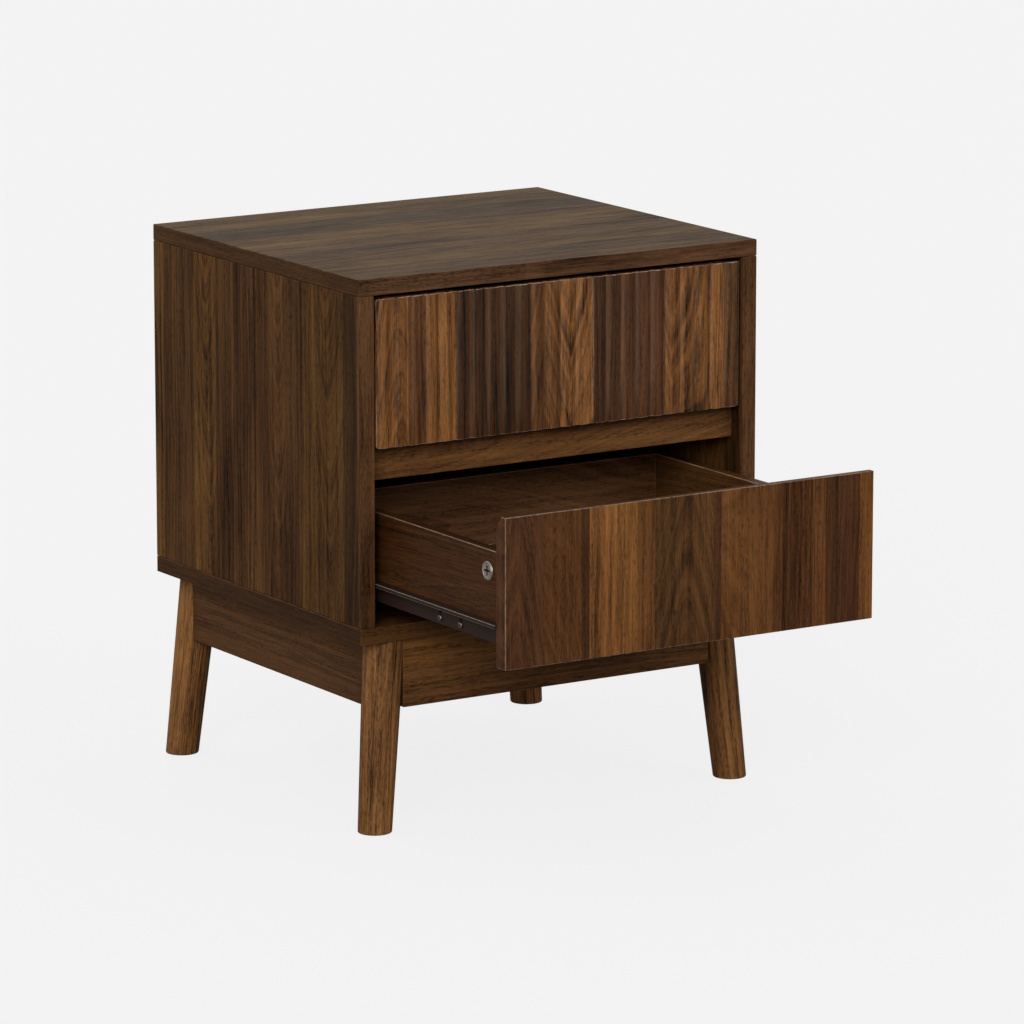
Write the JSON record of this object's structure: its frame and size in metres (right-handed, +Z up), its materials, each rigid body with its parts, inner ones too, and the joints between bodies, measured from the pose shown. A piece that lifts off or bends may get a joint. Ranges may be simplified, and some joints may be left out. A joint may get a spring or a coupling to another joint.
{
  "type": "nightstand with drawers",
  "caption": "Walnut-look nightstand with a ribbed upper drawer, a plain lower drawer pulled open on roller slides, and splayed round tapered legs.",
  "frame": {"origin": "on the floor, at the middle of the footprint that the nightstand has with its lower drawer pulled out, as it is at rest", "axes": "+Z up; -Y towards the drawer fronts, the way the drawers open; +X to the right of someone facing the fronts"},
  "size_m": [0.45, 0.626, 0.536],
  "materials": {
    "walnut": "satin walnut-print laminate on particle board",
    "walnut_top": "satin walnut-print laminate, grain across the width",
    "walnut_leg": "satin walnut stain, grain along the leg",
    "hardboard": "matt brown printed hardboard",
    "slide_steel": "brown epoxy-coated sheet steel",
    "nylon": "ivory nylon",
    "nickel": "nickel plate",
    "zinc": "zinc-plated steel"
  },
  "bodies": {
    "cabinet": {"top_panel": "walnut_top", "bottom_panel": "walnut", "left_side_panel": "walnut", "right_side_panel": "walnut", "back_panel": "hardboard", "middle_rail": "walnut", "front_apron": "walnut", "back_apron": "walnut", "left_apron": "walnut", "right_apron": "walnut", "front_left_leg": "walnut_leg", "front_left_bracket": "zinc", "front_left_leg_bolt": "zinc", "front_right_leg": "walnut_leg", "front_right_bracket": "zinc", "front_right_leg_bolt": "zinc", "back_left_leg": "walnut_leg", "back_left_bracket": "zinc", "back_left_leg_bolt": "zinc", "back_right_leg": "walnut_leg", "back_right_bracket": "zinc", "back_right_leg_bolt": "zinc", "upper_left_slide_channel": "slide_steel", "upper_right_slide_channel": "slide_steel", "lower_left_slide_channel": "slide_steel", "lower_right_slide_channel": "slide_steel"},
    "upper_drawer": {"upper_drawer_front": "walnut", "upper_drawer_left_side": "walnut", "upper_drawer_right_side": "walnut", "upper_drawer_back": "walnut", "upper_drawer_bottom": "hardboard", "upper_left_cam_lock": "nickel", "upper_left_slide_runner": "slide_steel", "upper_left_slide_screw_1": "nickel", "upper_left_slide_screw_2": "nickel", "upper_right_cam_lock": "nickel", "upper_right_slide_runner": "slide_steel", "upper_right_slide_screw_1": "nickel", "upper_right_slide_screw_2": "nickel"},
    "lower_drawer": {"lower_drawer_front": "walnut", "lower_drawer_left_side": "walnut", "lower_drawer_right_side": "walnut", "lower_drawer_back": "walnut", "lower_drawer_bottom": "hardboard", "lower_left_cam_lock": "nickel", "lower_left_slide_runner": "slide_steel", "lower_left_slide_screw_1": "nickel", "lower_left_slide_screw_2": "nickel", "lower_right_cam_lock": "nickel", "lower_right_slide_runner": "slide_steel", "lower_right_slide_screw_1": "nickel", "lower_right_slide_screw_2": "nickel"},
    "upper_left_front_roller": {"upper_left_front_roller": "nylon"},
    "upper_left_rear_roller": {"upper_left_rear_roller": "nylon"},
    "upper_right_front_roller": {"upper_right_front_roller": "nylon"},
    "upper_right_rear_roller": {"upper_right_rear_roller": "nylon"},
    "lower_left_front_roller": {"lower_left_front_roller": "nylon"},
    "lower_left_rear_roller": {"lower_left_rear_roller": "nylon"},
    "lower_right_front_roller": {"lower_right_front_roller": "nylon"},
    "lower_right_rear_roller": {"lower_right_rear_roller": "nylon"}
  },
  "joints": [
    {"name": "upper_drawer_slide", "type": "slide", "parent": "cabinet", "child": "upper_drawer", "axis": [0, -1, 0], "range_m": [0, 0.225]},
    {"name": "lower_drawer_slide", "type": "slide", "parent": "cabinet", "child": "lower_drawer", "axis": [0, -1, 0], "range_m": [-0.225, 0]},
    {"name": "upper_left_front_roller_spin", "type": "hinge", "parent": "cabinet", "child": "upper_left_front_roller", "pos_m": [-0.20285, -0.058, 0.4028], "axis": [1, 0, 0], "continuous": true},
    {"name": "upper_left_rear_roller_spin", "type": "hinge", "parent": "upper_drawer", "child": "upper_left_rear_roller", "pos_m": [-0.2026, 0.218, 0.4035], "axis": [1, 0, 0], "continuous": true},
    {"name": "upper_right_front_roller_spin", "type": "hinge", "parent": "cabinet", "child": "upper_right_front_roller", "pos_m": [0.20285, -0.058, 0.4028], "axis": [1, 0, 0], "continuous": true},
    {"name": "upper_right_rear_roller_spin", "type": "hinge", "parent": "upper_drawer", "child": "upper_right_rear_roller", "pos_m": [0.2026, 0.218, 0.4035], "axis": [1, 0, 0], "continuous": true},
    {"name": "lower_left_front_roller_spin", "type": "hinge", "parent": "cabinet", "child": "lower_left_front_roller", "pos_m": [-0.20285, -0.058, 0.2338], "axis": [1, 0, 0], "continuous": true},
    {"name": "lower_left_rear_roller_spin", "type": "hinge", "parent": "lower_drawer", "child": "lower_left_rear_roller", "pos_m": [-0.2026, -0.007, 0.2345], "axis": [1, 0, 0], "continuous": true},
    {"name": "lower_right_front_roller_spin", "type": "hinge", "parent": "cabinet", "child": "lower_right_front_roller", "pos_m": [0.20285, -0.058, 0.2338], "axis": [1, 0, 0], "continuous": true},
    {"name": "lower_right_rear_roller_spin", "type": "hinge", "parent": "lower_drawer", "child": "lower_right_rear_roller", "pos_m": [0.2026, -0.007, 0.2345], "axis": [1, 0, 0], "continuous": true}
  ],
  "couplings": [
    {"joint": "upper_left_front_roller_spin", "follows": "upper_drawer_slide", "rad_per_m": 121.95},
    {"joint": "upper_left_rear_roller_spin", "follows": "upper_drawer_slide", "rad_per_m": 105.26},
    {"joint": "upper_right_front_roller_spin", "follows": "upper_drawer_slide", "rad_per_m": 121.95},
    {"joint": "upper_right_rear_roller_spin", "follows": "upper_drawer_slide", "rad_per_m": 105.26},
    {"joint": "lower_left_front_roller_spin", "follows": "lower_drawer_slide", "rad_per_m": 121.95},
    {"joint": "lower_left_rear_roller_spin", "follows": "lower_drawer_slide", "rad_per_m": 105.26},
    {"joint": "lower_right_front_roller_spin", "follows": "lower_drawer_slide", "rad_per_m": 121.95},
    {"joint": "lower_right_rear_roller_spin", "follows": "lower_drawer_slide", "rad_per_m": 105.26}
  ]
}
